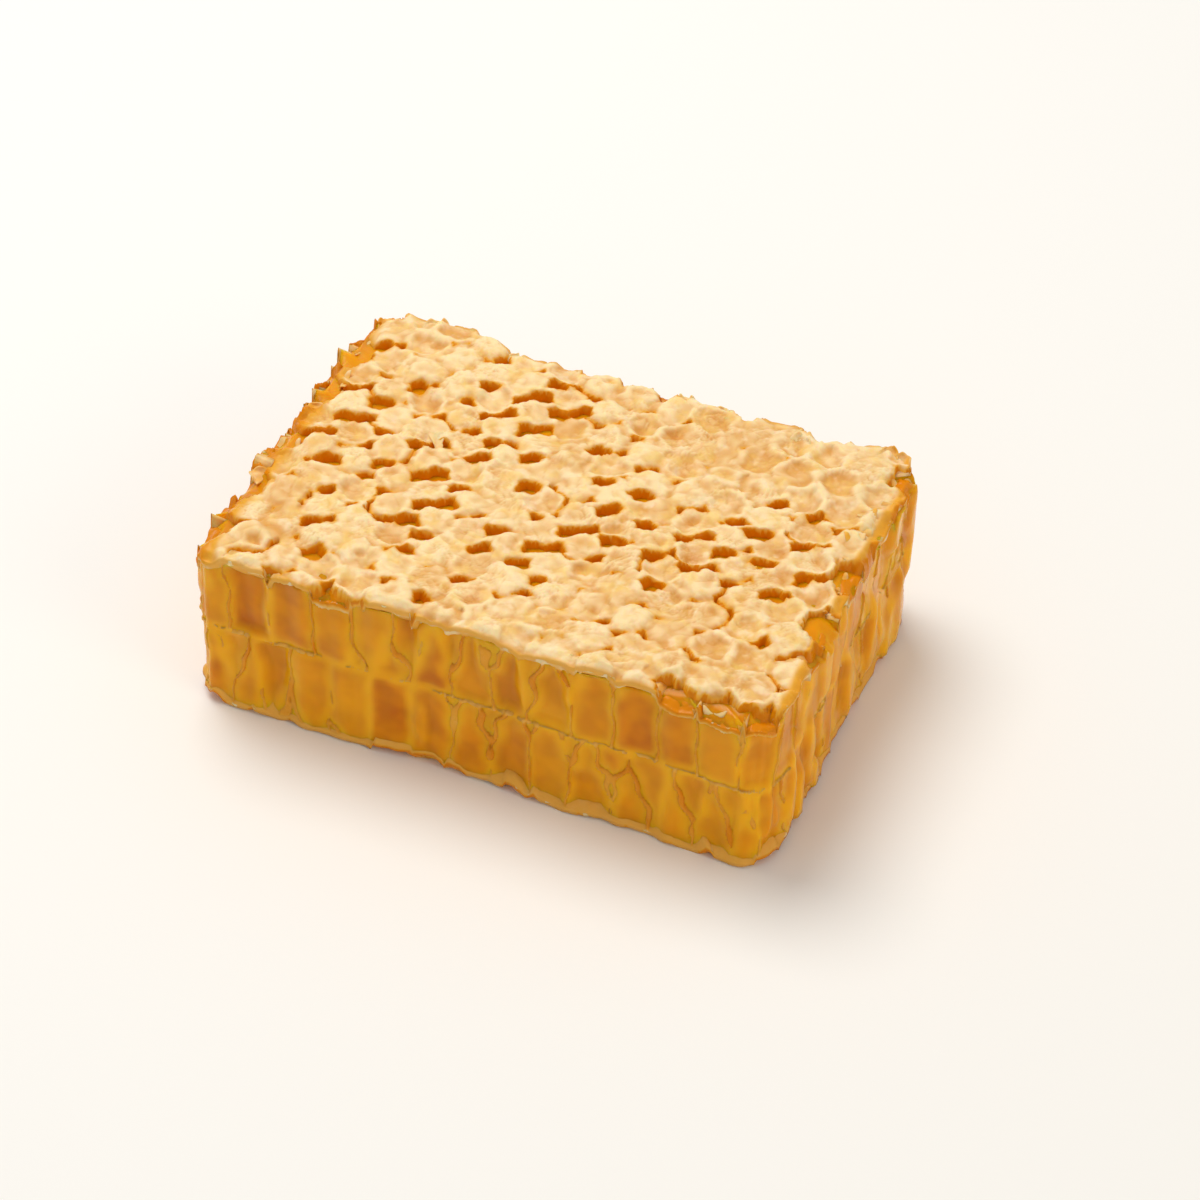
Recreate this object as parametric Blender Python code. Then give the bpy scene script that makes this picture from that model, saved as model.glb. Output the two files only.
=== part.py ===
"""Cut comb: a slab of sealed honeycomb, lying flat on the cappings of its underside.

Three layers run through the slab. The wax cappings of the upper side are a sheet of domed caps, one
for each cell, with a pit where three caps meet. The honey-filled cells stand on both sides of a wax
midrib, and the knife has opened them all round the slab. The cappings of the underside are pressed
flat by the slab's own weight.

Metres, +Z up. The origin is the middle of the flat underside. X runs along the slab, Y across it.
"""
import math
import random

import bmesh
import bpy
from mathutils import Matrix, Vector, noise

MM = 0.001
SEED = 8

# The slab: its four corners from the front left, anticlockwise, and its height
CORNERS = (
    Vector((-44.9, -30.8)) * MM,
    Vector((45.2, -31.1)) * MM,
    Vector((44.3, 30.0)) * MM,
    Vector((-44.3, 31.4)) * MM,
)
SLAB_HEIGHT = 29.0 * MM
CORNER_ROUND = 3.0 * MM           # how far a corner is drawn in
CORNER_REACH = 7.0 * MM           # how far from the corner the rounding starts
LAYER_GAP = 0.3 * MM              # clear space between two layers

# The knife's cuts
CUT_WANDER = 1.0 * MM             # how far a cut side strays from straight
CUT_WANDER_SPAN = 16.0 * MM       # over what distance it strays
TORN_STEP = 4.8 * MM              # spacing of the points along a torn edge of the cappings
TORN_DEPTH = 0.8 * MM             # how far the cappings are torn back from the cut

# Cells. The rows run slightly across the slab and bend a little.
ALONG_ROW = Vector((6.07, -0.55)) * MM    # from a cell to the next one in its row
NEXT_ROW = Vector((3.26, 5.26)) * MM      # from a cell to one in the next row
CELL_PITCH = ALONG_ROW.length
CELL_RADIUS = CELL_PITCH / math.sqrt(3.0)
ROW_SPACING = CELL_PITCH * math.sqrt(0.75)
ROW_BEND = 0.9                    # rise of a row at its ends, in metres for each metre squared
ROWS_EACH_WAY = 7
CELLS_EACH_WAY = 9
CELL_STRAY = 0.4 * MM             # how far a cell lies from its true place
CELL_STRAY_SPAN = 14.0 * MM       # over what distance it strays
TOP_CELL = Vector((0.75, 4.17)) * MM      # the middle of one cell of the upper side
BASE_CELL = Vector((0.0, 0.0))            # the middle of one cell of the underside

# Cappings of the upper side, as heights below or above CAP_LEVEL
CAP_LEVEL = SLAB_HEIGHT - 0.45 * MM
CAP_UNDERSIDE = 24.0 * MM
CAP_RIM = 1.25 * MM               # from the edge of a cell to the shoulder of its cap
CAP_PIT = (-2.6 * MM, -0.9 * MM)
CAP_BRIDGE = (-0.8 * MM, -0.35 * MM)
CAP_SHOULDER = (-0.35 * MM, 0.0)
CAP_CROWN = (-0.3 * MM, 0.45 * MM)

# Cappings of the underside, pressed flat, with creases between the caps
BASE_TOP = 2.2 * MM
BASE_RIM = 0.9 * MM
BASE_CREASE = (0.45 * MM, 0.9 * MM)

# Honey-filled cells between the cappings, opened by the knife
CELLS_BOTTOM = BASE_TOP + LAYER_GAP
CELLS_TOP = CAP_UNDERSIDE - LAYER_GAP
MIDRIB_LEVEL = 14.0 * MM
MIDRIB_HALF = 0.35 * MM
MIDRIB_SLOPE = 0.5 * MM
CHANNEL_DEPTH = 1.0 * MM
CHANNEL_STEPS = 3                 # points along the cut for each opened cell

BEESWAX_COLOR = (0.93, 0.72, 0.38, 1.0)
BEESWAX_ROUGHNESS = 0.55
HONEY_COLOR = (0.76, 0.34, 0.02, 1.0)
HONEY_ROUGHNESS = 0.2


def principled(name, color, roughness):
    """A Principled material of one colour."""
    finish = bpy.data.materials.new(name)
    finish.use_nodes = True
    shader = finish.node_tree.nodes["Principled BSDF"]
    shader.inputs["Base Color"].default_value = color
    shader.inputs["Roughness"].default_value = roughness
    shader.inputs["Metallic"].default_value = 0.0
    finish.diffuse_color = color
    return finish


def add_object(name, bm, finish=None):
    """Turn a bmesh into a named object."""
    bmesh.ops.recalc_face_normals(bm, faces=bm.faces[:])
    mesh = bpy.data.meshes.new(name)
    bm.to_mesh(mesh)
    bm.free()
    if finish:
        mesh.materials.append(finish)
    made = bpy.data.objects.new(name, mesh)
    bpy.context.scene.collection.objects.link(made)
    return made


def cut_stations(spacing_x, spacing_y, per_cell):
    """Places round the slab as (side, share of its length, share of a cell passed)."""
    stations = []
    for side, start in enumerate(CORNERS):
        length = (CORNERS[(side + 1) % len(CORNERS)] - start).length
        spacing = spacing_y if side % 2 else spacing_x
        cells = round(length / spacing)
        for step in range(cells * per_cell):
            stations.append((side, step / (cells * per_cell), (step % per_cell) / per_cell))
    return stations


def knife_cut(side, share, inset):
    """A point on a cut side, drawn in by inset, with rounded corners and a wandering line."""
    start = CORNERS[side]
    run = CORNERS[(side + 1) % len(CORNERS)] - start
    inward = Vector((-run.y, run.x)).normalized()
    from_corner = min(share, 1.0 - share) * run.length
    rounding = CORNER_ROUND * max(0.0, 1.0 - from_corner / CORNER_REACH) ** 2
    where = start + run * share
    wander = CUT_WANDER * noise.noise(where.to_3d() / CUT_WANDER_SPAN)
    toward_middle = -where.normalized()
    return where + inward * (inset + wander) + toward_middle * rounding


def cut_block(stations, levels):
    """A closed block between the cut sides. Each level is a height and a function that gives the
    inset at a station."""
    bm = bmesh.new()
    station_of = bm.verts.layers.int.new("station")
    ring = bmesh.ops.create_circle(bm, segments=len(stations), radius=1.0, cap_ends=True)["verts"]
    for number, vert in enumerate(ring):
        vert[station_of] = number
    edges = bm.edges[:]
    for height, inset_at in levels:
        if height > levels[0][0]:
            raised = bmesh.ops.extrude_edge_only(bm, edges=edges)["geom"]
            ring = [item for item in raised if isinstance(item, bmesh.types.BMVert)]
            edges = [item for item in raised if isinstance(item, bmesh.types.BMEdge)]
        for vert in ring:
            station = stations[vert[station_of]]
            side, share, _ = station
            vert.co = knife_cut(side, share, inset_at(station)).to_3d()
            vert.co.z = height
    bmesh.ops.edgeloop_fill(bm, edges=edges)
    return bm


def cell_sheet(rim):
    """A sheet of six-sided cells with an inner hexagon in each, and its verts where cells meet."""
    bm = bmesh.new()
    for row in range(-ROWS_EACH_WAY, ROWS_EACH_WAY + 1):
        for cell in range(-CELLS_EACH_WAY, CELLS_EACH_WAY + 1):
            across = (cell + 0.5 * (row % 2)) * CELL_PITCH
            place = Matrix.Translation((across, row * ROW_SPACING, 0.0))
            bmesh.ops.create_circle(bm, cap_ends=True, segments=6, radius=CELL_RADIUS, matrix=place)
    bmesh.ops.remove_doubles(bm, verts=bm.verts[:], dist=CELL_PITCH / 20.0)
    junctions = bm.verts[:]
    cells = bm.faces[:]
    bmesh.ops.inset_individual(bm, faces=cells, thickness=rim, use_even_offset=True)
    return bm, junctions, cells


def lay_rows(bm, first_cell):
    """Turn, bend and unsettle the rows of a regular sheet, with the middle of one cell given."""
    across_row = (NEXT_ROW - 0.5 * ALONG_ROW) / ROW_SPACING
    for vert in bm.verts:
        flat = first_cell + ALONG_ROW / CELL_PITCH * vert.co.x + across_row * vert.co.y
        flat.y += ROW_BEND * flat.x ** 2
        stray = CELL_STRAY * noise.noise_vector(flat.to_3d() / CELL_STRAY_SPAN)
        vert.co.x = flat.x + stray.x
        vert.co.y = flat.y + stray.y


def close_sheet(bm, height):
    """Give a sheet straight walls to a flat face at height."""
    border = [edge for edge in bm.edges if edge.is_boundary]
    walls = bmesh.ops.extrude_edge_only(bm, edges=border)["geom"]
    for item in walls:
        if isinstance(item, bmesh.types.BMVert):
            item.co.z = height
    bmesh.ops.edgeloop_fill(bm, edges=[edge for edge in bm.edges if edge.is_boundary])


def trim_to_slab(sheet, name, heights, seed):
    """Cut a sheet of cappings to the slab's outline, with a torn edge."""
    rng = random.Random(seed)
    stations = cut_stations(TORN_STEP, TORN_STEP, 1)
    torn = {station: TORN_DEPTH * rng.random() for station in stations}
    outline = add_object(name, cut_block(stations, [(height, torn.get) for height in heights]))
    outline.display_type = "WIRE"
    outline.hide_render = True
    cut = sheet.modifiers.new("trim", "BOOLEAN")
    cut.operation = "INTERSECT"
    cut.solver = "EXACT"
    cut.object = outline


def upper_cappings(finish):
    """Domed caps with shoulders that meet their neighbours, and a pit at each junction of three."""
    rng = random.Random(SEED)
    bm, junctions, crowns = cell_sheet(CAP_RIM)
    at_junction = set(junctions)
    shared = [edge for edge in bm.edges if all(vert in at_junction for vert in edge.verts)]
    for vert in bm.verts:
        vert.co.z = CAP_LEVEL + rng.uniform(*(CAP_PIT if vert in at_junction else CAP_SHOULDER))
    split = bmesh.ops.subdivide_edges(bm, edges=shared, cuts=1)["geom_inner"]
    for item in split:
        if isinstance(item, bmesh.types.BMVert):
            item.co.z = CAP_LEVEL + rng.uniform(*CAP_BRIDGE)
    for middle in bmesh.ops.poke(bm, faces=crowns)["verts"]:
        middle.co.z = CAP_LEVEL + rng.uniform(*CAP_CROWN)
    lay_rows(bm, TOP_CELL)
    close_sheet(bm, CAP_UNDERSIDE)
    sheet = add_object("cappings_top", bm, finish)
    trim_to_slab(sheet, "outline_top", (CAP_UNDERSIDE - CAP_RIM, SLAB_HEIGHT + CAP_RIM), SEED)


def underside_cappings(finish):
    """Caps pressed flat, with creases where they meet."""
    rng = random.Random(SEED)
    bm, junctions, _ = cell_sheet(BASE_RIM)
    for vert in junctions:
        vert.co.z = rng.uniform(*BASE_CREASE)
    lay_rows(bm, BASE_CELL)
    close_sheet(bm, BASE_TOP)
    sheet = add_object("cappings_base", bm, finish)
    trim_to_slab(sheet, "outline_base", (-BASE_RIM, BASE_TOP + BASE_RIM), SEED + 1)


def opened_cell(offset):
    """The inset at a station of a wall of opened cells: none on the wax between two cells."""
    def inset_at(station):
        passed = (station[2] + offset) % 1.0
        return 0.0 if passed * CHANNEL_STEPS < 0.5 else CHANNEL_DEPTH
    return inset_at


def honey_cells(finish):
    """Two storeys of cells back to back on the midrib, with the cells of one storey half a cell
    along from those of the other."""
    stations = cut_stations(CELL_PITCH, ROW_SPACING, CHANNEL_STEPS)
    below = opened_cell(0.0)
    above = opened_cell(1.0 / CHANNEL_STEPS)
    levels = (
        (CELLS_BOTTOM, below),
        (MIDRIB_LEVEL - MIDRIB_HALF - MIDRIB_SLOPE, below),
        (MIDRIB_LEVEL - MIDRIB_HALF, lambda station: 0.0),
        (MIDRIB_LEVEL + MIDRIB_HALF, lambda station: 0.0),
        (MIDRIB_LEVEL + MIDRIB_HALF + MIDRIB_SLOPE, above),
        (CELLS_TOP, above),
    )
    add_object("honey_cells", cut_block(stations, levels), finish)


def build():
    for old in list(bpy.data.objects):
        bpy.data.objects.remove(old, do_unlink=True)
    beeswax = principled("beeswax", BEESWAX_COLOR, BEESWAX_ROUGHNESS)
    honey = principled("honey", HONEY_COLOR, HONEY_ROUGHNESS)
    upper_cappings(beeswax)
    honey_cells(honey)
    underside_cappings(beeswax)


build()
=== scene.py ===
"""The looks of the cut comb: wax cappings, opened cells full of honey, and torn wax at the cuts."""
import math

import bmesh
import bpy
import numpy as np
from mathutils import Matrix, Vector, noise


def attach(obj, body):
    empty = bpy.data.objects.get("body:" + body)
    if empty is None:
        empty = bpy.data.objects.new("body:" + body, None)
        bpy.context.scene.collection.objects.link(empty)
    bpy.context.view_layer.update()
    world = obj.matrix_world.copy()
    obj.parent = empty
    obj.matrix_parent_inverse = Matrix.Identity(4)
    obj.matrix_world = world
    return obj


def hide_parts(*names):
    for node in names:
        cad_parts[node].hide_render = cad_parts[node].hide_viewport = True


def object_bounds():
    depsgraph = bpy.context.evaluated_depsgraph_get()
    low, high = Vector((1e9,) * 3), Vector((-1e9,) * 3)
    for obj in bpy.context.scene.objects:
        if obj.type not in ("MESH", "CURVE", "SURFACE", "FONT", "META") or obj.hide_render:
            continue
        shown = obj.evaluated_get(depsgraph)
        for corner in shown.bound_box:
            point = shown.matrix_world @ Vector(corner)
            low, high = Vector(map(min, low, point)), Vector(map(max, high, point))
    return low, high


MM = 0.001

# The slab, from the frame
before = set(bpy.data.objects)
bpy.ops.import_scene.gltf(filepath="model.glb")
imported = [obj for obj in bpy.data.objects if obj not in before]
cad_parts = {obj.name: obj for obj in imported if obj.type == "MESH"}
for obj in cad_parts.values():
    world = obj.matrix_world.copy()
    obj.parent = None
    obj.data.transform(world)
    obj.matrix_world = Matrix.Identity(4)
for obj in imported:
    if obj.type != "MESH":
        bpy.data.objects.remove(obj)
cad_low, cad_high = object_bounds()
SLAB_TOP = cad_high.z
HALF_LENGTH = 0.5 * (cad_high.x - cad_low.x)
HALF_WIDTH = 0.5 * (cad_high.y - cad_low.y)

# How the knife cut it: corners as shares of the half sizes, from the front left, anticlockwise
CORNERS = np.array([(-0.985, -0.965), (0.99, -0.97), (0.975, 0.945), (-0.975, 0.965)])
CORNER_ROUND = 2.6 * MM
CORNER_REACH = 7.0 * MM
CUT_WANDER = 0.8 * MM
CUT_WANDER_SPAN = 15.0 * MM
CUT_RAG = 0.3 * MM
CUT_RAG_SPAN = 2.6 * MM
EDGE_FADE = 9.0 * MM              # how far in from a cut its wander dies away
BACK_SWELLS = (                   # swells and dips of the back cut: place, half width, height
    (-28.5 * MM, 7.0 * MM, 1.5 * MM),
    (-11.0 * MM, 9.0 * MM, -1.6 * MM),
    (2.0 * MM, 6.0 * MM, 0.6 * MM),
)

# Rows of cells, which run slightly across the slab and bend a little
ALONG_ROW = np.array((6.07, -0.55)) * MM
NEXT_ROW = np.array((3.26, 5.26)) * MM
ROW_BEND = 0.9
UPPER_CELL = np.array((0.75, 4.17)) * MM
LOWER_CELL = UPPER_CELL + (ALONG_ROW + NEXT_ROW) / 3.0
CELL_STRAY = 0.45 * MM
CELL_RADIUS = 3.55 * MM
CELL_LEAN = math.tan(math.radians(9.0))   # bees build their cells leaning

# Wax and honey
TOP_GRID = (360, 252)
UNDER_GRID = (216, 152)
# How far round and how steeply the tint of the cappings is painted: paler on ridges as painted highlight, tan
# in hollows as painted shade
RELIEF_SHADE_REACH = 5                   # grid steps over which a ridge is told from what lies round it
RELIEF_SHADE_RISE = 0.5 * MM
RING_STEP = 0.2 * MM
RING_LEVELS = 62
HONEY_STEP = 0.5 * MM
HONEY_LEVELS = 34
HONEY_SHARES = (0.94, 0.86, 0.76, 0.65, 0.54, 0.43, 0.32, 0.21, 0.1)   # rings in from the cut, on top
LOWEST_HONEY = 0.9 * MM
CAP_LEVEL = SLAB_TOP - 0.8 * MM
HONEY_LEVEL = SLAB_TOP - 2.4 * MM
MIDRIB = 0.5 * SLAB_TOP
PIT_DEPTH = 2.3 * MM


def chance(first, second, salt):
    """Evenly spread numbers from 0 to 1 that depend only on two whole numbers and a salt."""
    mixed = np.sin(first * 12.9898 + second * 78.233 + salt * 37.719) * 43758.5453
    return mixed - np.floor(mixed)


def ramp(value, low, high):
    """0 below low, 1 above high, and a smooth rise between."""
    share = np.clip((value - low) / (high - low), 0.0, 1.0)
    return share * share * (3.0 - 2.0 * share)


def blend(first, second, share):
    """first at a share of 0, second at 1."""
    return first + (second - first) * share


def bump(value, width):
    """1 at 0, dying away over width."""
    return np.exp(-((value / width) ** 2))


def mottle(flat, span, salt, height=0.0):
    """Smooth noise, about -1 to 1, at places on the plan, with features of the given span."""
    high = np.broadcast_to(height, flat[:, 0].shape)
    shift = 7.31 * salt
    places = zip(flat[:, 0] / span + shift, flat[:, 1] / span - shift, high / span)
    return 1.6 * np.array([noise.noise(place) for place in places])


# ---------------------------------------------------------------- the comb's layout

def slab_plan(u, v):
    """Places on the plan for u along and v across, each from -1 to 1 between the cuts."""
    low, high = 0.5 - 0.5 * u, 0.5 + 0.5 * u
    near, far = 0.5 - 0.5 * v, 0.5 + 0.5 * v
    share = [low * near, high * near, high * far, low * far]
    half = np.array((HALF_LENGTH, HALF_WIDTH))
    flat = sum(part[:, None] * corner * half for part, corner in zip(share, CORNERS))
    from_end = (1.0 - np.abs(u)) * HALF_LENGTH
    from_side = (1.0 - np.abs(v)) * HALF_WIDTH
    at_end = np.sign(u) * (1.0 - ramp(from_end, 0.0, EDGE_FADE))
    at_side = np.sign(v) * (1.0 - ramp(from_side, 0.0, EDGE_FADE))
    wander = CUT_WANDER * mottle(flat, CUT_WANDER_SPAN, 1) + CUT_RAG * mottle(flat, CUT_RAG_SPAN, 2)
    swell = sum(height * bump(flat[:, 0] - place, half_width) for place, half_width, height in BACK_SWELLS)
    nearness = np.clip(1.0 - from_end / CORNER_REACH, 0, 1) * np.clip(1.0 - from_side / CORNER_REACH, 0, 1)
    outward = flat / np.linalg.norm(flat, axis=1)[:, None].clip(MM)
    flat = flat - outward * (CORNER_ROUND * nearness ** 2)[:, None]
    flat[:, 0] += at_end * wander
    flat[:, 1] += at_side * wander + np.clip(at_side, 0, 1) * swell
    return flat


def nearest_cells(flat, first_cell, salt):
    """The lattice numbers, middles and distances of the four nearest cells to each place."""
    straight = flat.copy()
    straight[:, 1] -= ROW_BEND * straight[:, 0] ** 2
    steps = np.linalg.solve(np.array((ALONG_ROW, NEXT_ROW)).T, (straight - first_cell).T).T
    corner = np.floor(steps)
    window = np.array([(i, j) for i in (-1, 0, 1, 2) for j in (-1, 0, 1, 2)])
    number = corner[:, None, :] + window[None, :, :]
    middle = first_cell + number[..., :1] * ALONG_ROW + number[..., 1:] * NEXT_ROW
    middle[..., 1] += ROW_BEND * middle[..., 0] ** 2
    for axis in (0, 1):
        stray = chance(number[..., 0], number[..., 1], salt + axis) - 0.5
        middle[..., axis] += 2.0 * CELL_STRAY * stray
    distance = np.linalg.norm(middle - flat[:, None, :], axis=2)
    order = np.argsort(distance, axis=1)[:, :4]
    pick = np.take_along_axis
    return pick(number, order[..., None], 1), pick(middle, order[..., None], 1), pick(distance, order, 1)


def meeting_point(middles):
    """Where three cells meet: the centre of the circle through their middles."""
    first = middles[:, 0]
    second = middles[:, 1] - first
    third = middles[:, 2] - first
    cross = 2.0 * (second[:, 0] * third[:, 1] - second[:, 1] * third[:, 0])
    cross = np.where(np.abs(cross) < 1e-9, 1e-9, cross)
    second_square = (second ** 2).sum(1)
    third_square = (third ** 2).sum(1)
    x = (third[:, 1] * second_square - second[:, 1] * third_square) / cross
    y = (second[:, 0] * third_square - third[:, 0] * second_square) / cross
    return first + np.stack((x, y), axis=1)


class Comb:
    """What the cells do at places on the plan of one storey."""

    def __init__(self, flat, first_cell, salt):
        self.number, middle, self.distance = nearest_cells(flat, first_cell, salt)
        across = np.linalg.norm(middle[:, 1] - middle[:, 0], axis=1)
        self.wall = (self.distance[:, 1] ** 2 - self.distance[:, 0] ** 2) / (2.0 * across)
        self.middle = middle
        self.salt = salt
        self.flat = flat

    def of_cell(self, salt, which=0):
        """A number from 0 to 1 that each cell has to itself."""
        return chance(self.number[:, which, 0], self.number[:, which, 1], self.salt + salt)

    def of_wall(self, salt):
        """A number from 0 to 1 that each wall between two cells has to itself."""
        pair = self.number[:, :2].sum(axis=1)
        return chance(pair[:, 0], pair[:, 1], self.salt + salt)

    def of_meeting(self, salt, cells):
        """A number from 0 to 1 for each meeting of three cells."""
        total = self.number[:, cells].sum(axis=1)
        return chance(total[:, 0], total[:, 1], self.salt + salt)

    def shared(self, of_cell):
        """A value of each cell, blended across the walls between cells. of_cell takes 0 or 1."""
        own = 0.5 + 0.5 * ramp(self.wall, 0.0, 0.9 * MM)
        return own * of_cell(0) + (1.0 - own) * of_cell(1)


# ---------------------------------------------------------------- relief of the cappings

OPENED_AT = np.array(((29.5, 26.5), (40.5, -9.0))) * MM   # cells torn open in the middle
TORN_LEFT = 4.6 * MM              # cells this near the left cut have lost their cappings
TORN_RIGHT = 3.4 * MM
MOUTH_TURN = math.radians(22.0)   # the wax has been pulled, so the mouths lie long in this direction
MOUTH_PULL = (0.72, 1.4)          # and are measured with these shares along and across it
WIDE_MOUTHS = np.array((          # where the widest mouths lie, from the back to the front
    (-37, 22), (-20, 20.5), (-13, 20), (-11, 20.5), (-7.5, 18.5), (-5, 19), (-30.5, 16.5), (-16, 14.5),
    (-9.5, 13.5), (-31, 10.5), (1, 12.5), (29, 11.5), (34, 11), (-33.5, 6), (-8, 7), (4, 5.7), (9.5, 5.5),
    (20.5, 5.5), (24.5, 5.7), (28, 4.7), (34, 4.5), (-20.5, 5.5), (-15.5, 4), (-4.5, 1.5), (6.8, 0.2),
    (12.5, 0), (19, 0), (24.5, -0.8), (30.8, -0.8), (36.5, -0.5), (39.5, 0), (-26.5, -1.3), (-19, -1),
    (3.3, -4.5), (6, -4), (-34, -5), (9.5, -5.8), (16, -5.8), (21.3, -6.2), (27.5, -6.5), (33.5, -6.7),
    (-15.5, -6.5), (-18, -9), (3, -9), (-6, -10), (19, -11), (0, -10.7), (-19, -12), (-16, -13.8),
    (-6.5, -14), (0, -14),
)) * MM


def opened_cells(comb, which):
    """1 for a cell whose capping is torn off, else 0."""
    middle = comb.middle[:, which]
    luck = comb.of_cell(11, which)
    left = (middle[:, 0] < -HALF_LENGTH + TORN_LEFT) & (luck < 0.85)
    right = (middle[:, 0] > HALF_LENGTH - TORN_RIGHT) & (luck < 0.7)
    sides = (np.abs(middle[:, 1]) > HALF_WIDTH - 1.2 * MM) & (luck < 0.3)
    opened = left | right | sides
    for place in OPENED_AT:
        opened |= np.linalg.norm(middle - place, axis=1) < 2.6 * MM
    return opened.astype(float)


def mouth_edge(comb, calm):
    """How far, in millimetres, each place lies outside the mouths between the caps: less than 0 inside.

    Caps are nearly round, so where three meet they leave a mouth with three cusps, and where a wall
    has split, two mouths join in a slit along it. Four cells are near enough to matter, so two
    meetings of three are looked at."""
    insides = []
    for cells in ((0, 1, 2), (0, 1, 3)):
        middles = comb.middle[:, cells]
        meeting = meeting_point(middles)
        behind = np.median(middles[:, :, 1], axis=1) < middles[:, :, 1].mean(axis=1)
        luck = comb.of_meeting(41, cells)
        size = np.where(behind, blend(-0.6, 1.05, luck), blend(-0.9, 0.8, luck)) - 1.1 * calm
        wide = np.linalg.norm(meeting[:, None, :] - WIDE_MOUTHS, axis=2).min(axis=1)
        size = blend(size, 0.9 + 0.35 * luck, 1.0 - ramp(wide, 1.3 * MM, 2.3 * MM))
        corner = np.linalg.norm(meeting - comb.middle[:, 0], axis=1)
        from_cap = 0.1 + size + (comb.distance[:, 0] - corner) / MM
        out = (comb.flat - meeting) / MM
        along = out[:, 0] * math.cos(MOUTH_TURN) + out[:, 1] * math.sin(MOUTH_TURN)
        across = out[:, 1] * math.cos(MOUTH_TURN) - out[:, 0] * math.sin(MOUTH_TURN)
        lobe = 0.55 + 0.85 * size - np.hypot(MOUTH_PULL[0] * along, MOUTH_PULL[1] * across)
        insides.append(np.minimum(from_cap, lobe))
    split = (comb.of_wall(32) < 0.09) & (calm < 0.5)
    near_corner = ramp(comb.distance[:, 2] - comb.distance[:, 0], 2.2 * MM, 0.6 * MM)
    insides.append(np.where(split, 0.3 * near_corner + 0.1 * comb.of_wall(33), -9.0) - comb.wall / MM)
    return -np.maximum.reduce(insides)


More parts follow.
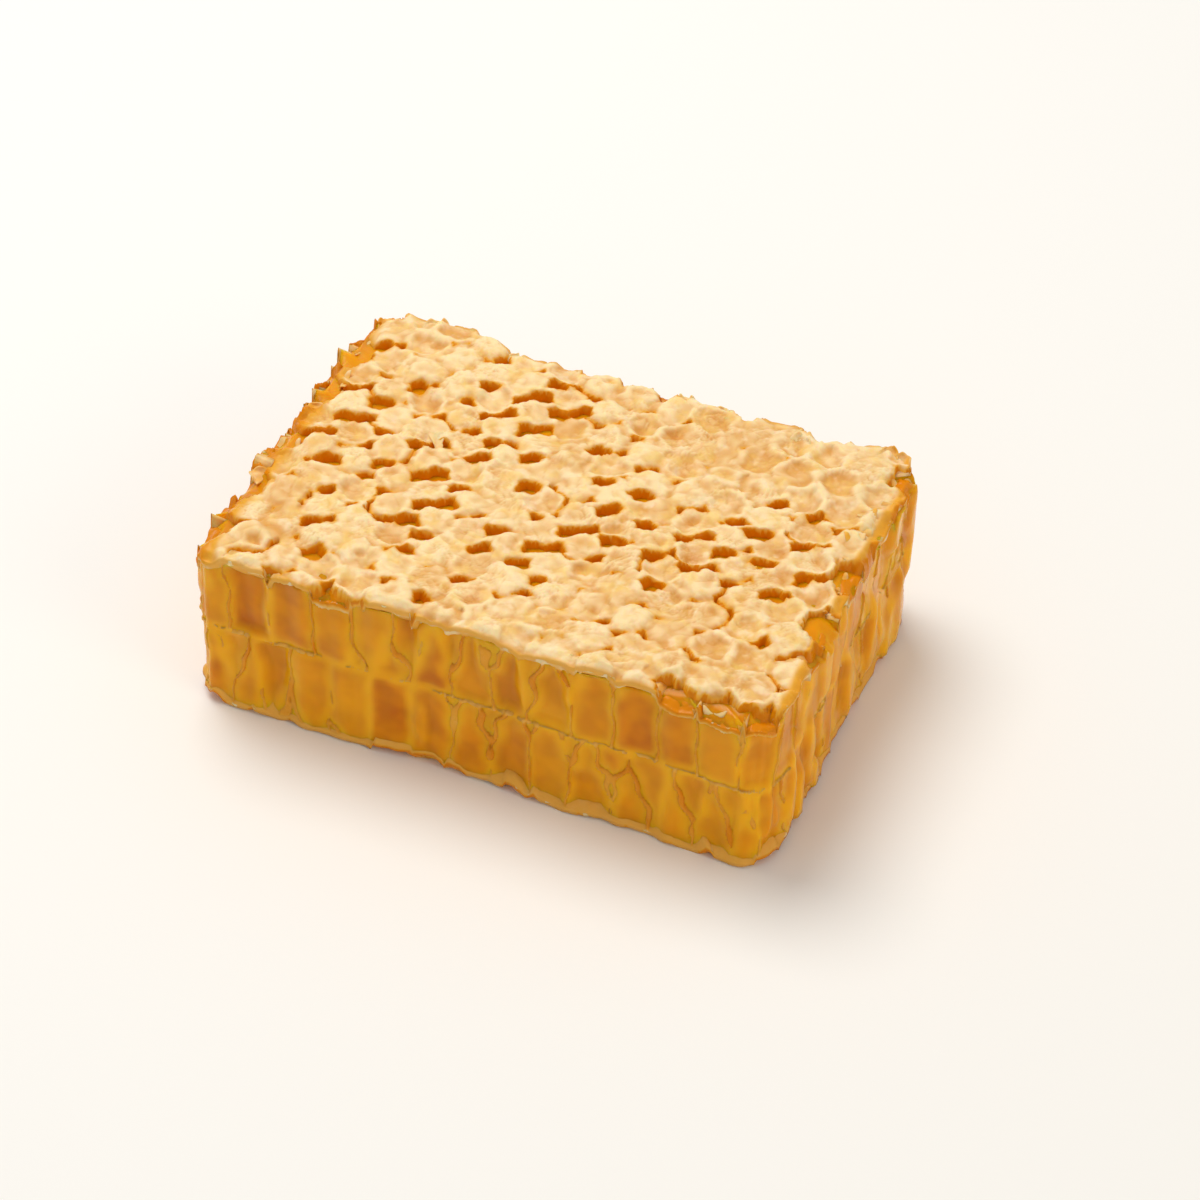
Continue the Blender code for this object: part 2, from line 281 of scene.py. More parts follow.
def cap_relief(flat, first_cell, salt, u, v):
    """Height of the cappings against CAP_LEVEL and what shows there: amber, tint, stain."""
    drift = np.stack((mottle(flat, 3.0 * MM, salt + 3), mottle(flat, 3.0 * MM, salt + 4)), axis=1)
    tremble = np.stack((mottle(flat, 0.9 * MM, salt + 5), mottle(flat, 0.9 * MM, salt + 6)), axis=1)
    comb = Comb(flat + 0.5 * MM * drift + 0.14 * MM * tremble, first_cell, salt)
    calm = ramp(flat[:, 0], 4.0 * MM, 18.0 * MM) * ramp(flat[:, 1], 7.0 * MM, 15.0 * MM)

    # Domed caps, and dished ones with a raised rim, each at its own level
    dished = ramp(comb.of_cell(20) + 0.45 * calm, 0.55, 0.75)
    crown = blend(blend(0.1, 0.6, comb.of_cell(21)), blend(-0.3, -0.8, comb.of_cell(21)), dished)
    level = comb.shared(lambda which: 0.6 * (comb.of_cell(22, which) - 0.5))
    from_middle = np.clip(comb.distance[:, 0] / CELL_RADIUS, 0.0, 1.0)
    height = level + crown * (1.0 - from_middle ** 2) * ramp(comb.wall, 0.0, 1.3 * MM)
    rim_share = comb.shared(lambda which: ramp(comb.of_cell(20, which) + 0.45 * calm, 0.55, 0.75))
    crease = blend(-0.1, 0.3, comb.of_wall(31)) * (1.0 - rim_share) - 0.25 * rim_share
    height -= crease * bump(comb.wall, 0.8 * MM)

    # Dimples, where the wax has sunk on the honey and is wet
    swing = 2.0 * math.pi * comb.of_cell(24)
    hollow = comb.middle[:, 0] + 1.2 * MM * np.stack((np.cos(swing), np.sin(swing)), axis=1)
    sunk = (comb.of_cell(23) > 0.5) * bump(np.linalg.norm(comb.flat - hollow, axis=1), 1.05 * MM)
    height -= blend(0.2, 0.7, comb.of_cell(25)) * sunk

    # Swells, lumps, and wrinkles that run together into folds
    height += 0.38 * mottle(flat, 12.0 * MM, salt + 7) + 0.22 * mottle(flat, 4.0 * MM, salt + 8)
    lumps = mottle(flat, 1.7 * MM, salt + 9)
    height += 0.15 * lumps
    turn = 2.4 * mottle(flat, 9.0 * MM, salt + 10)
    along = flat[:, 0] * np.cos(turn) + flat[:, 1] * np.sin(turn)
    beside = flat[:, 1] * np.cos(turn) - flat[:, 0] * np.sin(turn)
    wrinkle = mottle(np.stack((0.45 * along, 1.5 * beside), axis=1), 1.5 * MM, salt + 11)
    wrinkled = ramp(mottle(flat, 6.0 * MM, salt + 14), -0.2, 0.5)
    height += 0.13 * wrinkled * (1.0 - 2.0 * np.abs(wrinkle))
    fold = np.abs(mottle(flat, 2.6 * MM, salt + 15))
    height -= 0.12 * bump(fold, 0.1)

    mouth = mouth_edge(comb, calm)
    open_share = ramp(-mouth, -0.12, 0.5)
    height -= 0.2 * bump(np.clip(mouth, 0.0, None), 0.5)

    # Cells torn open near the cuts
    opened = opened_cells(comb, 0)
    inside = opened * ramp(comb.wall, 0.1 * MM, 0.4 * MM)
    rim = np.maximum(opened, opened_cells(comb, 1)) * (1.0 - ramp(comb.wall, 0.1 * MM, 0.5 * MM))
    height += rim * (0.45 * mottle(flat, 1.3 * MM, salt + 12) - 0.25)
    open_share = np.maximum(open_share, inside)

    # The cuts: the left end is dragged down, and every edge is rounded over
    from_left = (1.0 + u) * HALF_LENGTH
    from_cut = np.minimum((1.0 - np.abs(u)) * HALF_LENGTH, (1.0 - np.abs(v)) * HALF_WIDTH)
    ragged = 1.0 + 0.6 * mottle(flat, 3.0 * MM, salt + 13)
    height -= 1.3 * ragged * (1.0 - ramp(from_left, 0.0, 6.5 * MM))
    height -= 0.65 * ragged * (1.0 - ramp(from_cut, 0.0, 1.5 * MM))
    height = height * MM - PIT_DEPTH * open_share

    torn = 0.75 * (1.0 - ramp(from_left, 1.5 * MM, 6.5 * MM))
    torn = np.maximum(torn, 0.6 * (1.0 - ramp((1.0 - u) * HALF_LENGTH, 0.3 * MM, 2.6 * MM)))
    torn = np.maximum(torn, 0.35 * (1.0 - ramp(from_cut, 0.0, 0.9 * MM)))
    mouthed = np.maximum(ramp(-mouth, -0.2, -0.02), 0.4 * bump(np.clip(mouth, 0.0, None), 0.4))
    amber = np.clip(np.maximum.reduce((mouthed, ramp(inside, 0.0, 0.3), torn + 0.25 * rim)), 0.0, 1.0)
    tint = np.clip(0.5 + 0.6 * (comb.shared(lambda which: comb.of_cell(26, which)) - 0.5), 0.0, 1.0)
    patchy = ramp(mottle(flat, 2.2 * MM, salt + 16), -0.5, 0.6)
    wet = 0.6 * dished * ramp(comb.wall, 0.2 * MM, 2.4 * MM) * comb.of_cell(27)
    sunk = sunk * blend(0.2, 0.9, comb.of_cell(27)) + wet
    stain = np.clip(sunk * patchy + 0.55 * bump(mouth, 0.5), 0.0, 1.0)
    return height, np.stack((amber, tint, stain, np.ones_like(amber)), axis=1)


# ---------------------------------------------------------------- making pieces

# A piece's points carry a state: amber of honey behind the wax, tint from cream to tan (on the cappings also
# a painted highlight on ridges and painted shade in hollows), and wet stain
HIDDEN_STATE = (0.4, 0.5, 0.0, 1.0)
HONEY_TOP_STATE = (0.7, 0.0, 0.0, 1.0)


def add_piece(name, bm, finish, states=None):
    """Turn a bmesh into a smooth piece that rides on the slab. states colours its points."""
    mesh = bpy.data.meshes.new(name)
    bm.to_mesh(mesh)
    bm.free()
    mesh.shade_smooth()
    mesh.materials.append(finish)
    if states is not None:
        layer = mesh.attributes.new("wax_state", "FLOAT_COLOR", "POINT")
        layer.data.foreach_set("color", states.astype(np.float32).ravel())
    piece = bpy.data.objects.new(name, mesh)
    bpy.context.scene.collection.objects.link(piece)
    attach(piece, "root")
    return piece


def grid_sheet(cells):
    """A bmesh grid and the places of its points along and across, each from -1 to 1."""
    bm = bmesh.new()
    bmesh.ops.create_grid(bm, x_segments=cells[0], y_segments=cells[1], size=1.0)
    u = np.array([vert.co.x for vert in bm.verts])
    v = np.array([vert.co.y for vert in bm.verts])
    return bm, u, v


def put(bm, flat, height):
    """Place a bmesh's points."""
    for vert, place, high in zip(bm.verts, flat, height):
        vert.co = (place[0], place[1], high)


def paint_relief_light_and_shade(states, height, rows):
    """Painted highlight and shade: lower the tint, towards cream, where a sheet stands proud of what lies
    round it, and raise it, towards tan, in the hollows.
    """
    relief = np.clip(height, -1.2 * MM, None).reshape(rows, -1)
    around = relief
    for axis in (0, 1):
        shifts = (np.roll(around, shift, axis) for shift in range(-RELIEF_SHADE_REACH, RELIEF_SHADE_REACH + 1))
        around = sum(shifts) / (2 * RELIEF_SHADE_REACH + 1)
    states[:, 1] = np.clip(states[:, 1] - ((relief - around) / RELIEF_SHADE_RISE).ravel(), 0.0, 1.0)


def close_under(bm, steps):
    """Close a sheet behind its border. Each step is (share of the plan kept, height)."""
    edges = [edge for edge in bm.edges if edge.is_boundary]
    for share, height in steps:
        made = bmesh.ops.extrude_edge_only(bm, edges=edges)["geom"]
        edges = [item for item in made if isinstance(item, bmesh.types.BMEdge)]
        for vert in (item for item in made if isinstance(item, bmesh.types.BMVert)):
            vert.co = (vert.co.x * share, vert.co.y * share, height(vert.co))
    bmesh.ops.edgeloop_fill(bm, edges=edges)
    bmesh.ops.recalc_face_normals(bm, faces=bm.faces[:])


def border_walk(step):
    """Places (u, v) round the cuts, from the front left, anticlockwise."""
    along = np.linspace(-1.0, 1.0, round(2.0 * HALF_LENGTH / step), endpoint=False)
    across = np.linspace(-1.0, 1.0, round(2.0 * HALF_WIDTH / step), endpoint=False)
    one = np.ones_like
    u = np.concatenate((along, one(across), -along, -one(across)))
    v = np.concatenate((-one(along), across, one(along), -across))
    return u, v


def inward_of(flat):
    """The directions into the slab at places round its border."""
    run = np.roll(flat, -1, axis=0) - np.roll(flat, 1, axis=0)
    run = sum(np.roll(run, shift, axis=0) for shift in range(-4, 5))
    inward = np.stack((-run[:, 1], run[:, 0]), axis=1)
    return inward / np.linalg.norm(inward, axis=1)[:, None]


def stack_rings(levels):
    """Rings of points bridged into a tube. Returns the bmesh, its first and last ring of edges and
    the layer that numbers its points, ring by ring."""
    count = len(levels[0])
    bm = bmesh.new()
    number_of = bm.verts.layers.int.new("number")
    ring = bmesh.ops.create_circle(bm, segments=count, radius=1.0)["verts"]
    for number, vert in enumerate(ring):
        vert[number_of] = number
    first = edges = bm.edges[:]
    for level, points in enumerate(levels):
        if level:
            made = bmesh.ops.extrude_edge_only(bm, edges=edges)["geom"]
            ring = [item for item in made if isinstance(item, bmesh.types.BMVert)]
            edges = [item for item in made if isinstance(item, bmesh.types.BMEdge)]
        for vert in ring:
            number = vert[number_of] % count
            vert.co = points[number]
            vert[number_of] = number + level * count
    return bm, first, edges, number_of


def in_order(bm, number_of, states):
    """The states of a bmesh's points, in the order of its points."""
    return states[[vert[number_of] for vert in bm.verts]]


def points_of(flat, height):
    """Rows of x, y, z."""
    return np.column_stack((flat, np.broadcast_to(height, flat[:, 0].shape)))


# ---------------------------------------------------------------- the cut sides

class CutSide:
    """What the knife laid open, at places round the slab and heights between its two cappings."""

    def __init__(self, flat, height, low, high):
        # The cells behind the cut lean and are a little uneven. Those above the midrib face up
        leaned = flat - np.stack((0.0 * height, CELL_LEAN * np.abs(height - MIDRIB)), axis=1)
        tremble = np.stack((mottle(flat, 3.5 * MM, 61, height), mottle(flat, 3.5 * MM, 62, height)), axis=1)
        leaned += 0.45 * MM * tremble
        upper = Comb(leaned, UPPER_CELL, 0)
        lower = Comb(leaned, LOWER_CELL, 50)
        above = height > MIDRIB + 0.3 * MM * mottle(flat, 6.0 * MM, 63)
        wall = np.where(above, upper.wall, lower.wall)
        fill = np.where(above, upper.of_cell(71), lower.of_cell(71))
        strength = np.where(above, upper.of_wall(72), lower.of_wall(72))
        rough = mottle(flat, 1.3 * MM, 64, height)
        slow = mottle(flat, 5.0 * MM, 65, height)

        # Bands of wax: the edges of the cappings, the midrib and the cell walls, some torn back
        cap_band = 1.0 - ramp(high - height, (1.0 + 0.5 * slow) * MM, (1.5 + 0.5 * slow) * MM)
        base_band = 1.0 - ramp(height - low, 0.6 * MM, 1.0 * MM)
        rib = np.abs(height - MIDRIB - 0.3 * MM * mottle(flat, 6.0 * MM, 63))
        rib_band = 1.0 - ramp(rib, 0.22 * MM, 0.45 * MM)
        wall_band = 1.0 - ramp(wall, (0.16 + 0.06 * rough) * MM, (0.34 + 0.06 * rough) * MM)
        torn_back = 0.9 * ramp(strength + 0.3 * slow, 0.6, 0.85)
        ragged = 0.16 + 0.16 * rough + torn_back * (1.0 - np.maximum(cap_band, base_band))
        wax = np.maximum.reduce((cap_band, base_band, rib_band, wall_band))
        self.wax_inset = blend(1.9, ragged, wax) * MM

        # Honey lies hollow in each cell, drained more or less, and has run down over the wax in places
        cupped = ramp(wall, 0.0, 1.3 * MM) * ramp(rib, 0.0, 1.6 * MM)
        drained = blend(-0.25, 1.0, fill ** 2)
        run = mottle(flat, 3.2 * MM, 66, 0.22 * height)
        on_right = ramp(flat[:, 0], HALF_LENGTH - 6.0 * MM, HALF_LENGTH - 1.0 * MM)
        flooded = ramp(run + 0.3 * slow, 0.75 - 0.75 * on_right, 1.3 - 0.7 * on_right)
        inset = 0.42 + drained * cupped + 0.14 * slow + 0.05 * rough
        self.honey_inset = (inset * (1.0 - 0.8 * flooded) - (0.25 + 0.35 * on_right) * flooded) * MM
        # Wax under a run lies deeper, and honey is deepest in colour in the middle of a full cell
        self.wax_inset += 1.3 * flooded * (1.0 - np.maximum(cap_band, base_band)) * MM
        tone = np.where(above, upper.of_cell(73), lower.of_cell(73))
        depth = blend(0.15, 0.55 + 0.45 * tone, cupped) * (1.0 - 0.5 * flooded) + 0.12 * slow
        depth = np.clip(depth, 0.0, 1.0)
        self.honey_states = np.stack((depth, 0.0 * wall, 0.0 * wall, 0.0 * wall + 1.0), axis=1)

        # Thin walls are the amber of the honey behind them, and the edges of the cappings are paler
        amber = 0.66 + 0.15 * slow
        amber = blend(amber, 0.36, rib_band)
        amber = blend(amber, 0.24 + 0.14 * rough, np.maximum(cap_band, base_band))
        tint = np.clip(0.5 + 0.5 * rough, 0.0, 1.0)
        self.states = np.stack((np.clip(amber, 0.0, 1.0), tint, 0.3 * wall_band, 0.0 * wax + 1.0), axis=1)


def side_heights(flat, u, v):
    """Where the cut side starts and ends at each place round the slab."""
    upper, _ = cap_relief(flat, UPPER_CELL, 0, u, v)
    return under_height(flat, u, v) + 0.05 * MM, CAP_LEVEL + upper - 0.05 * MM


def under_height(flat, u, v):
    """Height of the underside: caps pressed flat, with their creases and mouths standing clear."""
    lower, _ = cap_relief(flat, LOWER_CELL, 50, u, v)
    return 0.42 * np.clip(-lower - 0.05 * MM, 0.0, None)


def side_rings(step, levels):
    """Places and heights of rings round the slab, and the directions into it."""
    u, v = border_walk(step)
    flat = slab_plan(u, v)
    low, high = side_heights(flat, u, v)
    share = np.linspace(0.0, 1.0, levels)
    height = low + share[:, None] * (high - low)
    repeat = (levels, 1)
    side = CutSide(np.tile(flat, repeat), height.ravel(), np.tile(low, levels), np.tile(high, levels))
    return flat, inward_of(flat), height, side


def make_cell_walls(beeswax):
    """Wax that the knife laid open: cell walls, the midrib and the edges of both cappings."""
    flat, inward, height, side = side_rings(RING_STEP, RING_LEVELS)
    count = len(flat)
    inset = side.wax_inset.reshape(RING_LEVELS, count)
    rings = [points_of(flat + inward * inset[level][:, None], height[level]) for level in range(RING_LEVELS)]
    behind = flat + inward * 2.6 * MM
    rings.append(points_of(behind, height[-1] - 0.3 * MM))
    rings.append(points_of(behind, height[0] + 0.3 * MM))
    bm, first, last, number_of = stack_rings(rings)
    bmesh.ops.bridge_loops(bm, edges=first + last)
    states = np.concatenate((side.states, side.states[-count:], side.states[:count]))
    states = in_order(bm, number_of, states)
    bm.verts.layers.int.remove(number_of)
    bmesh.ops.recalc_face_normals(bm, faces=bm.faces[:])
    return add_piece("cell_walls", bm, beeswax, states)


def make_honey(honey):
    """Honey in the cells: a block that shows between the cell walls and in the pits above."""
    flat, inward, height, side = side_rings(HONEY_STEP, HONEY_LEVELS)
    count = len(flat)
    inset = side.honey_inset.reshape(HONEY_LEVELS, count)
    height = np.clip(height, LOWEST_HONEY, HONEY_LEVEL)
    rings = [points_of(flat + inward * inset[level][:, None], height[level]) for level in range(HONEY_LEVELS)]
    for share in HONEY_SHARES:
        plan = flat * share
        rings.append(points_of(plan, HONEY_LEVEL + 0.25 * MM * mottle(plan, 5.0 * MM, 81)))
    bm, first, last, number_of = stack_rings(rings)
    top = np.tile(HONEY_TOP_STATE, (len(bm.verts) - len(side.honey_states), 1))
    states = in_order(bm, number_of, np.concatenate((side.honey_states, top)))
    bm.verts.layers.int.remove(number_of)
    bmesh.ops.edgeloop_fill(bm, edges=first)
    bmesh.ops.edgeloop_fill(bm, edges=last)
    bmesh.ops.recalc_face_normals(bm, faces=bm.faces[:])
    piece = add_piece("honey_in_cells", bm, honey, states)
    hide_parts("honey_cells")
    return piece


def make_cappings(beeswax):
    """The sheet of wax caps over the upper cells."""
    bm, u, v = grid_sheet(TOP_GRID)
    flat = slab_plan(u, v)
    height, states = cap_relief(flat, UPPER_CELL, 0, u, v)
    put(bm, flat, CAP_LEVEL + height)
    # Painted light and shade: the tint is made paler on the ridges of the relief and tan in its hollows
    paint_relief_light_and_shade(states, height, TOP_GRID[1] + 1)
    close_under(bm, (
        (0.9985, lambda place: place.z - 0.7 * MM),
        (0.97, lambda place: min(place.z, HONEY_LEVEL) - 0.8 * MM),
        (0.94, lambda place: CAP_LEVEL - PIT_DEPTH - 2.6 * MM),
    ))
    states = np.concatenate((states, np.tile(HIDDEN_STATE, (len(bm.verts) - len(states), 1))))
    piece = add_piece("wax_cappings", bm, beeswax, states)
    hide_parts("cappings_top")
    return piece


# Torn flaps of wax: shares along and across the slab, height over the caps, heading, length, width,
# lift at the root and curl, in millimetres and degrees
FLAPS = (
    (0.92, 0.62, -0.2, 20, 4.2, 4.0, 25, -95),
    (0.93, 0.5, 0.1, -40, 3.6, 3.0, 25, -70),
    (0.94, 0.42, -0.2, -10, 4.0, 3.0, 35, -85),
    (0.93, 0.31, 0.0, -70, 3.6, 3.2, 30, -60),
    (0.95, 0.2, -0.4, -20, 3.4, 3.8, 10, -95),
    (0.95, 0.78, -0.2, 30, 3.8, 3.6, 10, -85),
    (0.96, 0.05, -0.3, 0, 2.8, 3.8, 0, -85),
    (0.96, -0.14, -0.4, 5, 2.6, 3.4, -5, -75),
    (0.96, -0.48, -0.4, -10, 3.0, 3.6, 0, -80),
    (0.96, -0.72, -0.4, 0, 2.6, 3.4, 0, -75),
    (0.94, 0.94, -0.3, 60, 2.6, 3.2, 25, 15),
    (0.88, 0.95, -0.4, 100, 2.2, 3.0, 10, 20),
    (0.97, 0.88, -0.5, 10, 2.8, 3.0, 15, -70),
    (-0.5, 0.22, 0.5, -60, 4.8, 1.8, 8, -12),
    (0.6, 0.88, 0.1, 80, 2.6, 3.6, 10, 10),
    (0.7, 0.87, 0.1, 110, 2.4, 3.4, 10, 10),
    (0.31, 0.95, -0.1, 70, 2.2, 3.6, 0, 10),
    (0.18, 0.95, -0.1, 110, 1.9, 3.0, 0, 10),
    (-0.43, 0.95, -0.2, 80, 2.2, 3.2, 0, 10),
    (-0.74, 0.95, -0.5, 110, 2.2, 3.8, 5, 15),
    (-0.9, 0.93, -0.6, 130, 2.6, 3.4, 10, 5),
    (-0.93, 0.72, -0.2, 170, 2.6, 4.0, 10, -70),
    (-0.9, 0.42, 0.0, -170, 2.8, 3.8, 10, -75),
    (-0.94, 0.18, -0.2, 160, 2.4, 3.8, 20, 0),
    (-0.91, -0.1, 0.0, -160, 2.8, 3.8, 10, -80),
    (-0.95, -0.35, -0.3, 175, 2.6, 3.6, 20, 0),
    (-0.93, -0.62, -0.2, -170, 2.6, 3.4, 5, -80),
    (-0.7, -0.97, -0.3, -95, 2.2, 3.6, 0, -90),
    (-0.2, -0.97, -0.2, -80, 2.0, 3.8, 0, -80),
    (0.34, -0.97, -0.3, -100, 2.4, 3.6, 0, -90),
    (0.78, -0.97, -0.3, -85, 2.2, 3.4, 0, -80),
)
FLAP_GRID = (10, 8)
FLAP_THICK = 0.3 * MM
FLAP_ROOT = 0.7                   # how far back and down a flap is rooted in the comb, in millimetres
FLAP_SUNK = 0.45


def lay_flap(bm, flap, salt):
    """A tongue of wax from its root to its ragged tip, curling as it goes."""
    u, v, over, heading, length, width, lift, curl = flap
    share = np.array((u,)), np.array((v,))
    plan = slab_plan(*share)
    height, _ = cap_relief(plan, UPPER_CELL, 0, *share)
    made = bmesh.ops.create_grid(bm, x_segments=FLAP_GRID[0], y_segments=FLAP_GRID[1], size=1.0)["verts"]
    for vert in made:
        along, beside = 0.5 + 0.5 * vert.co.x, vert.co.y
        rag = noise.noise((2.2 * along, 1.6 * beside, 3.7 * salt))
        reach = length * along * (1.0 + 0.3 * noise.noise((1.7 * beside, salt, 0.0)) - 0.25 * beside ** 2)
        slope = math.radians(lift + curl * along)
        taper = math.sqrt(1.0 - 0.8 * along ** 2)
        cup = 0.16 * width * beside ** 2
        rise = reach * math.sin(slope) + cup + 0.4 * rag
        out = reach * math.cos(slope) * 0.9 - FLAP_ROOT
        vert.co = Vector((out, 0.5 * width * beside * taper + 0.3 * rag, rise)) * MM
    turn = Matrix.Rotation(math.radians(heading), 4, "Z")
    root = Vector((*plan[0], CAP_LEVEL + max(height[0], -1.2 * MM) + (over - FLAP_SUNK) * MM))
    bmesh.ops.transform(bm, matrix=Matrix.Translation(root) @ turn, verts=made)


def make_torn_wax(beeswax):
    """Flaps of capping and cell wall that the knife and the tray tore loose."""
    bm = bmesh.new()
    for number, flap in enumerate(FLAPS):
        lay_flap(bm, flap, number)
    x = np.array([vert.co.x for vert in bm.verts])
    fleck = np.array([noise.noise(vert.co / (1.4 * MM)) for vert in bm.verts])
    near_end = ramp(np.abs(x), 34.0 * MM, 40.0 * MM)
    amber = np.clip(0.1 + 0.2 * near_end + 0.3 * fleck, 0.0, 1.0)
    states = np.stack((amber, np.full_like(x, 0.3), np.zeros_like(x), np.ones_like(x)), axis=1)
    piece = add_piece("torn_flaps", bm, beeswax, states)
    wall = piece.modifiers.new("wall", "SOLIDIFY")
    wall.thickness = FLAP_THICK
    smoother = piece.modifiers.new("soft", "SUBSURF")
    smoother.levels = 1
    smoother.render_levels = 1
    return piece


def make_under_cappings(beeswax):
    """The caps that the slab lies on, pressed flat."""
    bm, u, v = grid_sheet(UNDER_GRID)
    flat = slab_plan(u, v)
    _, states = cap_relief(flat, LOWER_CELL, 50, u, v)
    put(bm, flat, under_height(flat, u, v))
    close_under(bm, (
        (0.9985, lambda place: place.z + 0.6 * MM),
        (0.97, lambda place: place.z + 1.4 * MM),
        (0.94, lambda place: 3.2 * MM),
    ))
    states = np.concatenate((states, np.tile(HIDDEN_STATE, (len(bm.verts) - len(states), 1))))
    piece = add_piece("pressed_cappings", bm, beeswax, states)
    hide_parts("cappings_base")
    return piece


# ---------------------------------------------------------------- materials

SMOOTH_STEP = {"interpolation_type": "SMOOTHSTEP"}
COLORS = {"data_type": "RGBA"}


def linear(code):
    """A solid colour from its sRGB hex code."""
    parts = [int(code[place:place + 2], 16) / 255.0 for place in (1, 3, 5)]
    return [part / 12.92 if part <= 0.04045 else ((part + 0.055) / 1.055) ** 2.4 for part in parts] + [1.0]


def add_node(tree, kind, settings=None, values=None, links=None):
    """Add a node with its settings, the values of its inputs (a hex code is a colour), and links."""
    made = tree.nodes.new(kind)
    for name, value in (settings or {}).items():
        setattr(made, name, value)
    for name, value in (values or {}).items():
        made.inputs[name].default_value = linear(value) if isinstance(value, str) else value
    for name, output in (links or {}).items():
        tree.links.new(output, made.inputs[name])
    return made


def new_material(name, values):
    """A material with a Principled shader and the values of its sockets."""
    made = bpy.data.materials.new(name)
    made.use_nodes = True
    shader = made.node_tree.nodes["Principled BSDF"]
    for socket, value in values.items():
        shader.inputs[socket].default_value = value
    return made, made.node_tree, shader


def beeswax_material():
    """Beeswax, drawn out thin by the bees: dull, creamy and faintly see-through, so honey warms it
    wherever the wax is thin or wet. On the cappings, ridges carry a painted highlight in pale cream and
    hollows painted shade in tan."""
    made, tree, shader = new_material("beeswax_cappings", {
        "IOR": 1.44,
        "Subsurface Radius": (1.0, 0.55, 0.22),
        "Subsurface Scale": 0.7 * MM,
        "Specular IOR Level": 0.16,
    })
    place = add_node(tree, "ShaderNodeTexCoord").outputs["Object"]
    state = add_node(tree, "ShaderNodeAttribute", {"attribute_name": "wax_state"}).outputs["Color"]
    part = add_node(tree, "ShaderNodeSeparateColor", links={"Color": state})
    amber, tint, stain = (part.outputs[name] for name in ("Red", "Green", "Blue"))

    # Cream wax, running to tan with the tint (on the cappings, painted shade in hollows and painted highlight
    # on ridges), with yellower patches 3 mm across and pale patches of painted highlight
    cream = add_node(tree, "ShaderNodeMix", COLORS, {6: "#F7DDAA", 7: "#E0A65A"}, {0: tint}).outputs[2]
    patches = add_node(
        tree, "ShaderNodeTexNoise", None, {"Scale": 1.0 / (3.2 * MM), "Detail": 3.0}, {0: place},
    )
    yellow = add_node(
        tree, "ShaderNodeMapRange", SMOOTH_STEP, {1: 0.48, 2: 0.7, 4: 0.6}, {0: patches.outputs[0]},
    )
    cream = add_node(
        tree, "ShaderNodeMix", COLORS, {7: "#F2C970"}, {0: yellow.outputs[0], 6: cream},
    ).outputs[2]
    # Painted highlight: pale cream patches wherever this noise is high
    highlight_noise = add_node(tree, "ShaderNodeTexNoise", None, {"Scale": 1.0 / (2.4 * MM), "Detail": 2.0}, {0: place})
    pale = add_node(
        tree, "ShaderNodeMapRange", SMOOTH_STEP, {1: 0.52, 2: 0.75, 4: 0.6}, {0: highlight_noise.outputs[0]},
    )
    cream = add_node(tree, "ShaderNodeMix", COLORS, {7: "#FBE6BE"}, {0: pale.outputs[0], 6: cream}).outputs[2]

    # Wet stains broken up by flecks, then thin wax, then honey behind it
    fleck = add_node(tree, "ShaderNodeTexNoise", None, {"Scale": 1.0 / (0.7 * MM), "Detail": 3.0}, {0: place})
    flecked = add_node(
        tree, "ShaderNodeMapRange", SMOOTH_STEP, {1: 0.3, 2: 0.65, 3: 0.35}, {0: fleck.outputs[0]},
    )
    damp = add_node(
        tree, "ShaderNodeMath", {"operation": "MULTIPLY"}, None, {0: stain, 1: flecked.outputs[0]},
    ).outputs[0]
    cream = add_node(tree, "ShaderNodeMix", COLORS, {7: "#D8964A"}, {0: damp, 6: cream}).outputs[2]
    thin = add_node(tree, "ShaderNodeMapRange", SMOOTH_STEP, {1: 0.05, 2: 0.5}, {0: amber})
    warm = add_node(tree, "ShaderNodeMix", COLORS, {7: "#EAA936"}, {0: thin.outputs[0], 6: cream}).outputs[2]
    filled = add_node(tree, "ShaderNodeMapRange", SMOOTH_STEP, {1: 0.45, 2: 0.85}, {0: amber})
    color = add_node(
        tree, "ShaderNodeMix", COLORS, {7: "#DE8606"}, {0: filled.outputs[0], 6: warm},
    ).outputs[2]
    tree.links.new(color, shader.inputs["Base Color"])

    # Light travels far in thick dry wax, and not in the thin walls between two cells
    thick = add_node(tree, "ShaderNodeMapRange", SMOOTH_STEP, {1: 0.1, 2: 0.36, 3: 0.55, 4: 0.12}, {0: amber})
    tree.links.new(thick.outputs[0], shader.inputs["Subsurface Weight"])

    # Dull where dry, with a sheen where wet; fine creases a millimetre apart
    grain = add_node(tree, "ShaderNodeTexNoise", None, {"Scale": 1.0 / (0.8 * MM), "Detail": 4.0}, {0: place})
    dry = add_node(
        tree, "ShaderNodeMapRange", SMOOTH_STEP, {1: 0.3, 2: 0.7, 3: 0.42, 4: 0.62}, {0: grain.outputs[0]},
    )
    wet = add_node(tree, "ShaderNodeMath", {"operation": "MAXIMUM"}, None, {0: amber, 1: damp})
    rough = add_node(
        tree, "ShaderNodeMath", {"operation": "MULTIPLY_ADD"}, {1: -0.32},
        {0: wet.outputs[0], 2: dry.outputs[0]},
    )
    tree.links.new(rough.outputs[0], shader.inputs["Roughness"])
    creases = add_node(
        tree, "ShaderNodeTexNoise", None,
        {"Scale": 1.0 / (1.1 * MM), "Detail": 5.0, "Distortion": 0.6}, {0: place},
    )
    relief = add_node(
        tree, "ShaderNodeBump", None,
        {"Strength": 0.36, "Distance": 0.4 * MM}, {"Height": creases.outputs[0]},
    )
    tree.links.new(relief.outputs[0], shader.inputs["Normal"])
    return made


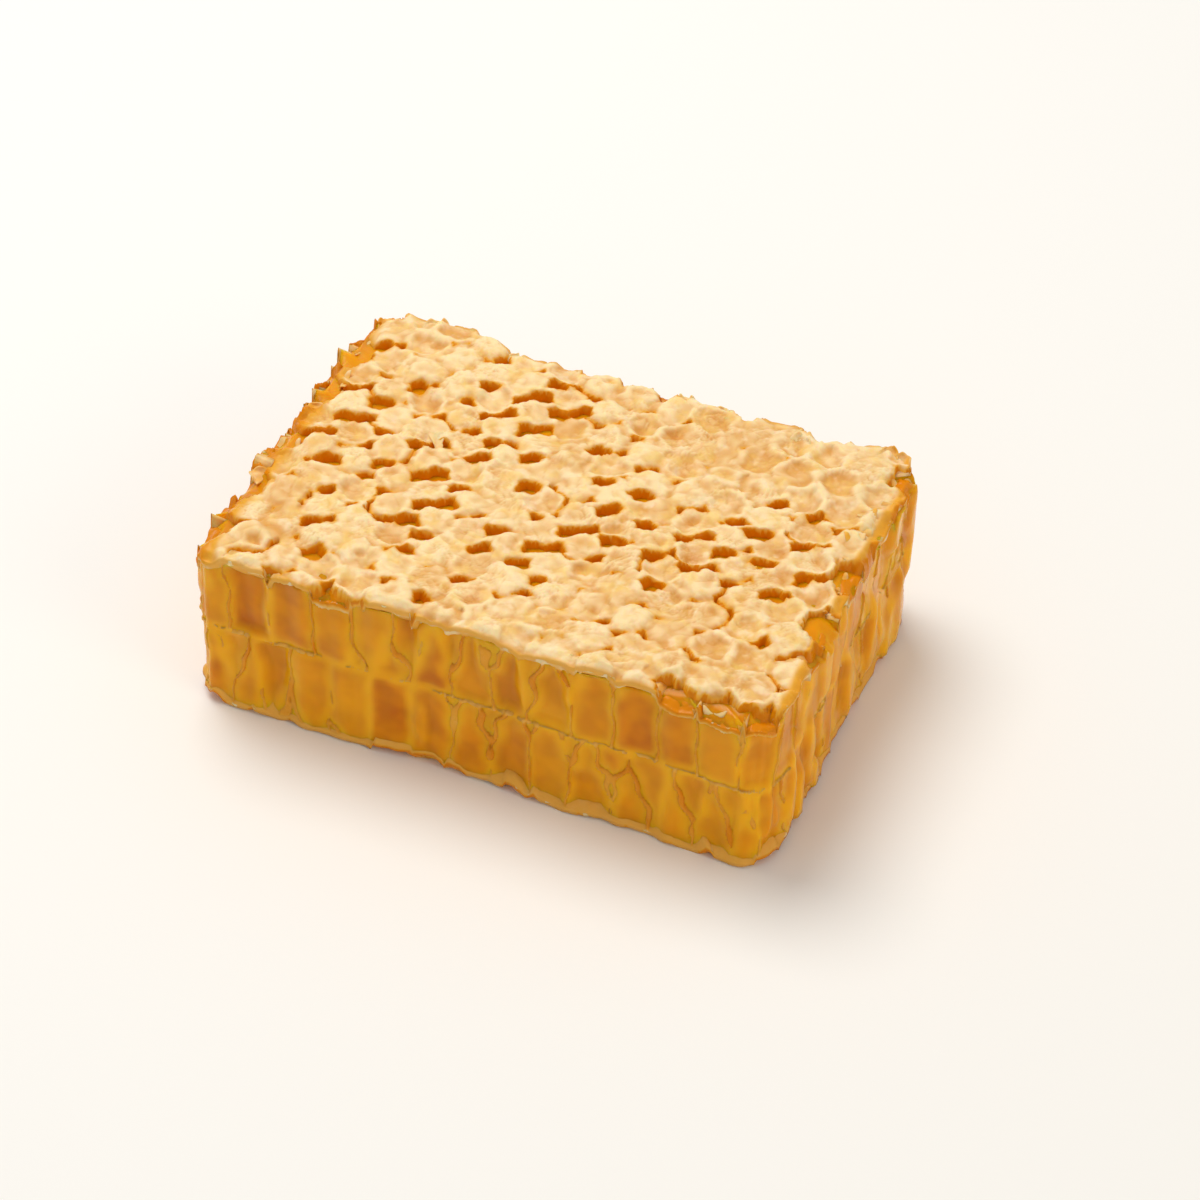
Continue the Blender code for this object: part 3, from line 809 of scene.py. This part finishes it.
def honey_material():
    """Raw honey: amber, glossy and see-through, so light travels far in it and comes out deep gold
    where it lies thick and yellow where it is thin."""
    made, tree, shader = new_material("raw_honey", {
        "IOR": 1.49,
        "Roughness": 0.16,
        "Subsurface Weight": 0.8,
        "Subsurface Radius": (1.0, 0.42, 0.06),
        "Subsurface Scale": 1.6 * MM,
        "Specular IOR Level": 0.15,
    })
    place = add_node(tree, "ShaderNodeTexCoord").outputs["Object"]
    state = add_node(tree, "ShaderNodeAttribute", {"attribute_name": "wax_state"}).outputs["Color"]
    depth = add_node(tree, "ShaderNodeSeparateColor", links={"Color": state}).outputs["Red"]
    cloud = add_node(tree, "ShaderNodeTexNoise", None, {"Scale": 1.0 / (6.0 * MM), "Detail": 2.0}, {0: place})
    share = add_node(tree, "ShaderNodeMapRange", SMOOTH_STEP, {1: 0.35, 2: 0.65}, {0: cloud.outputs[0]})
    deep = add_node(
        tree, "ShaderNodeMix", COLORS, {6: "#E28C00", 7: "#C86E00"}, {0: share.outputs[0]},
    ).outputs[2]
    color = add_node(tree, "ShaderNodeMix", COLORS, {6: "#FAB814"}, {0: depth, 7: deep}).outputs[2]
    tree.links.new(color, shader.inputs["Base Color"])
    swirl = add_node(tree, "ShaderNodeTexNoise", None, {"Scale": 1.0 / (2.4 * MM), "Detail": 2.0}, {0: place})
    relief = add_node(
        tree, "ShaderNodeBump", None, {"Strength": 0.2, "Distance": 0.4 * MM}, {"Height": swirl.outputs[0]},
    )
    tree.links.new(relief.outputs[0], shader.inputs["Normal"])
    return made


# ---------------------------------------------------------------- studio

CAMERA_AZIMUTH = math.radians(21.08)
CAMERA_ELEVATION = math.radians(41.67)
CAMERA_ROLL = math.radians(1.73)
CAMERA_DISTANCE = 0.5542
CAMERA_LENS = 119.46              # for a sensor 36 mm wide
CAMERA_TARGET = Vector((10.63, -10.98, 22.1)) * MM


def make_camera():
    """The camera, aimed at a point beside the slab's middle and rolled a little."""
    azimuth, elevation = CAMERA_AZIMUTH, CAMERA_ELEVATION
    flat_part = math.cos(elevation)
    back = Vector((math.sin(azimuth) * flat_part, -math.cos(azimuth) * flat_part, math.sin(elevation)))
    right = Vector((0.0, 0.0, 1.0)).cross(back).normalized()
    turned = Matrix((right, back.cross(right), back)).transposed() @ Matrix.Rotation(CAMERA_ROLL, 3, "Z")
    data = bpy.data.cameras.new("camera")
    data.sensor_width = 36.0
    data.lens = CAMERA_LENS
    data.clip_start = 0.01
    camera = bpy.data.objects.new("camera", data)
    camera.matrix_world = Matrix.Translation(CAMERA_TARGET + back * CAMERA_DISTANCE) @ turned.to_4x4()
    bpy.context.scene.collection.objects.link(camera)
    bpy.context.scene.camera = camera


def make_floor():
    """Matt white board, 6 m across, with no edge in view."""
    bm = bmesh.new()
    bmesh.ops.create_grid(bm, x_segments=1, y_segments=1, size=3.0)
    mesh = bpy.data.meshes.new("floor")
    bm.to_mesh(mesh)
    bm.free()
    made, _, _ = new_material("pale_board", {"Base Color": linear("#F4F3F0"), "Roughness": 0.7})
    mesh.materials.append(made)
    floor = bpy.data.objects.new("floor", mesh)
    bpy.context.scene.collection.objects.link(floor)


def make_light(name, place, size, watts, code):
    """A round softbox that faces the slab. Its place and size are in metres."""
    data = bpy.data.lights.new(name, "AREA")
    data.shape = "DISK"
    data.size = size
    data.energy = watts
    data.color = linear(code)[:3]
    light = bpy.data.objects.new(name, data)
    light.location = place
    light.rotation_euler = Vector(place).to_track_quat("Z", "Y").to_euler()
    bpy.context.scene.collection.objects.link(light)


def make_studio():
    """Soft light from above and behind, warm light from the right, and a white room."""
    make_floor()
    make_light("softbox_above", (-0.35, 0.2, 0.85), 0.6, 5.7, "#FFFCF6")
    make_light("softbox_right", (0.8, -0.25, 0.45), 0.5, 1.4, "#FFE8C4")
    world = bpy.data.worlds.new("soft_room")
    world.use_nodes = True
    world.node_tree.nodes["Background"].inputs["Color"].default_value = linear("#FFFFFF")
    world.node_tree.nodes["Background"].inputs["Strength"].default_value = 0.5
    bpy.context.scene.world = world
    bpy.context.scene.view_settings.view_transform = "Standard"
    make_camera()


beeswax = beeswax_material()
honey = honey_material()
make_cappings(beeswax)
make_cell_walls(beeswax)
make_honey(honey)
make_under_cappings(beeswax)
make_torn_wax(beeswax)
make_studio()
